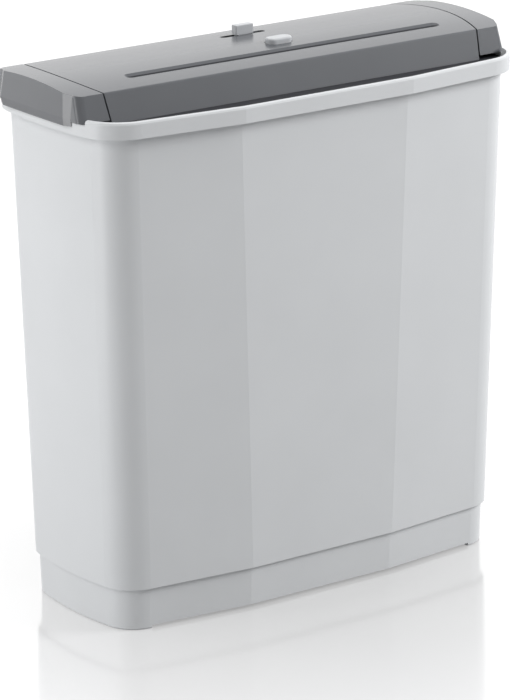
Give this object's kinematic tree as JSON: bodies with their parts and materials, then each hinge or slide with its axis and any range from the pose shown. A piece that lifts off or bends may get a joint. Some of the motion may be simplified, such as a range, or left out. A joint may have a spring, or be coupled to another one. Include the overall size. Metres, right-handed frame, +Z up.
{
  "type": "paper shredder",
  "caption": "Strip-cut paper shredder: a motor head with a feed slot, slide switch and push button that lifts off a tapered waste bin with a rim and a plinth.",
  "frame": {"origin": "middle of the bin's base, on the floor", "axes": "+Z up, +X along the feed slot away from the gear train, -Y the front"},
  "size_m": [0.3086, 0.1396, 0.327],
  "materials": {
    "bin_plastic": "fine moulded grain",
    "cover_plastic": "fine moulded grain",
    "housing_plastic": "moulded",
    "plate_steel": "rolled sheet",
    "turned_steel": "turned",
    "bush_bronze": "sintered",
    "cutter_steel": "milled and hardened",
    "comb_plastic": "moulded",
    "gear_steel": "sintered",
    "gear_plastic": "moulded",
    "motor_steel": "drawn and plated",
    "pinion_brass": "cut",
    "control_plastic": "moulded",
    "switch_plastic": "moulded",
    "board_laminate": "solder mask",
    "capacitor_sleeve": "shrunk sleeve",
    "terminal_plastic": "moulded",
    "gland_rubber": "moulded"
  },
  "bodies": {
    "bin": {"waste_bin": "bin_plastic"},
    "head": {"top_cover": "cover_plastic", "left_end_cap": "cover_plastic", "right_end_cap": "cover_plastic", "lower_housing": "housing_plastic", "feed_throat": "housing_plastic", "left_side_plate": "plate_steel", "right_side_plate": "plate_steel", "gear_plate": "plate_steel", "gear_plate_spacers": "turned_steel", "tie_rods": "turned_steel", "shaft_bushes": "bush_bronze", "gear_axles": "turned_steel", "front_stripper_comb": "comb_plastic", "rear_stripper_comb": "comb_plastic", "motor_can": "motor_steel", "motor_end_cap": "comb_plastic", "slide_switch": "switch_plastic", "button_microswitch": "switch_plastic", "start_microswitch": "switch_plastic", "lever_pin": "turned_steel", "circuit_board": "board_laminate", "board_relay": "switch_plastic", "board_capacitor": "capacitor_sleeve", "board_terminals": "terminal_plastic", "cord_gland": "gland_rubber", "cover_screws": "turned_steel", "cap_screws": "turned_steel"},
    "knob": {"switch_knob": "control_plastic"},
    "button": {"push_button": "control_plastic"},
    "lever": {"feed_lever": "comb_plastic"},
    "rear_cutter_body": {"rear_cutter": "cutter_steel", "rear_sync_gear": "gear_steel", "final_gear": "gear_steel"},
    "front_cutter_body": {"front_cutter": "cutter_steel", "front_sync_gear": "gear_steel"},
    "second_gear_body": {"second_gear": "gear_plastic"},
    "first_gear_body": {"first_gear": "gear_plastic"},
    "motor_rotor": {"motor_pinion": "pinion_brass"}
  },
  "joints": [
    {"name": "head_lift", "type": "slide", "parent": "bin", "child": "head", "axis": [0, 0, 1], "range_m": [0, 0.07]},
    {"name": "knob_slide", "type": "slide", "parent": "head", "child": "knob", "axis": [1, 0, 0], "range_m": [-0.009, 0.009]},
    {"name": "button_press", "type": "slide", "parent": "head", "child": "button", "axis": [0, 0, 1], "range_m": [-0.0015, 0], "stiffness_N_per_m": 500},
    {"name": "lever_swing", "type": "hinge", "parent": "head", "child": "lever", "pos_m": [-0.012, -0.0098, 0.3049], "axis": [1, 0, 0], "range_deg": [0, 25], "stiffness_Nm_per_rad": 0.002},
    {"name": "rear_cutter_spin", "type": "hinge", "parent": "head", "child": "rear_cutter_body", "pos_m": [0.0056, -0.007, 0.281], "axis": [1, 0, 0], "continuous": true},
    {"name": "front_cutter_spin", "type": "hinge", "parent": "head", "child": "front_cutter_body", "pos_m": [0.0056, -0.03, 0.281], "axis": [1, 0, 0], "continuous": true},
    {"name": "second_gear_spin", "type": "hinge", "parent": "head", "child": "second_gear_body", "pos_m": [0.0056, 0.01884, 0.29041], "axis": [1, 0, 0], "continuous": true},
    {"name": "first_gear_spin", "type": "hinge", "parent": "head", "child": "first_gear_body", "pos_m": [0.0056, 0.01884, 0.26641], "axis": [1, 0, 0], "continuous": true},
    {"name": "motor_spin", "type": "hinge", "parent": "head", "child": "motor_rotor", "pos_m": [0.0056, 0.02823, 0.28406], "axis": [1, 0, 0], "continuous": true}
  ],
  "couplings": [
    {"joint": "front_cutter_spin", "follows": "rear_cutter_spin", "ratio": -1},
    {"joint": "second_gear_spin", "follows": "rear_cutter_spin", "ratio": -2.6667},
    {"joint": "first_gear_spin", "follows": "rear_cutter_spin", "ratio": 8},
    {"joint": "motor_spin", "follows": "rear_cutter_spin", "ratio": -32}
  ]
}
